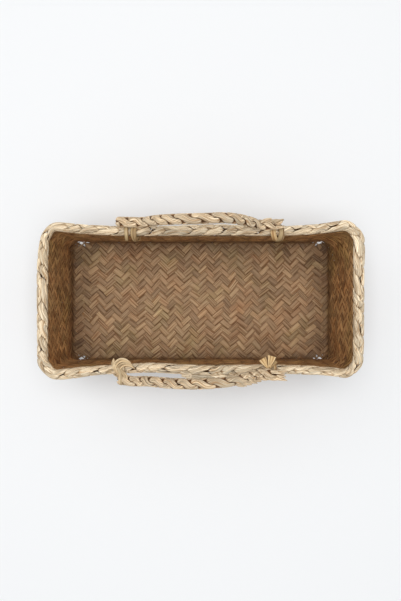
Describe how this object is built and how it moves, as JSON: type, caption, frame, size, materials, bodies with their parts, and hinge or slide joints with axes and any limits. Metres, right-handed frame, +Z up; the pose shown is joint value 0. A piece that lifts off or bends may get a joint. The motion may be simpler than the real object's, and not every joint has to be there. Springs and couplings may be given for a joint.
{
  "type": "bread basket",
  "caption": "Rectangular plaited leaf bread basket with a braided rim and a swinging braided handle lashed to each long side.",
  "frame": {"origin": "middle of the underside of the floor, in the plane of the table", "axes": "+X along the basket to its right end, +Y to its back long side, +Z up"},
  "size_m": [0.38, 0.1916, 0.1834],
  "materials": {
    "plaited_leaf": "matte",
    "rim_leaf": "satin",
    "handle_leaf": "satin",
    "tie_leaf": "satin"
  },
  "bodies": {
    "basket": {"floor_weave": "plaited_leaf", "wall_front": "plaited_leaf", "wall_back": "plaited_leaf", "wall_left": "plaited_leaf", "wall_right": "plaited_leaf", "rim_strand_a": "rim_leaf", "rim_strand_b": "rim_leaf", "rim_strand_c": "rim_leaf"},
    "handle_front": {"handle_front_strand_a": "handle_leaf", "handle_front_strand_b": "handle_leaf", "handle_front_strand_c": "handle_leaf", "tie_front_left": "tie_leaf", "tie_front_right": "tie_leaf"},
    "handle_back": {"handle_back_strand_a": "handle_leaf", "handle_back_strand_b": "handle_leaf", "handle_back_strand_c": "handle_leaf", "tie_back_left": "tie_leaf", "tie_back_right": "tie_leaf"}
  },
  "joints": [
    {"name": "handle_front_swing", "type": "hinge", "parent": "basket", "child": "handle_front", "pos_m": [0, -0.0798, 0.1233], "axis": [1, 0, 0], "range_deg": [-75, 100]},
    {"name": "handle_back_swing", "type": "hinge", "parent": "basket", "child": "handle_back", "pos_m": [0, 0.0798, 0.1233], "axis": [-1, 0, 0], "range_deg": [-75, 100]}
  ]
}
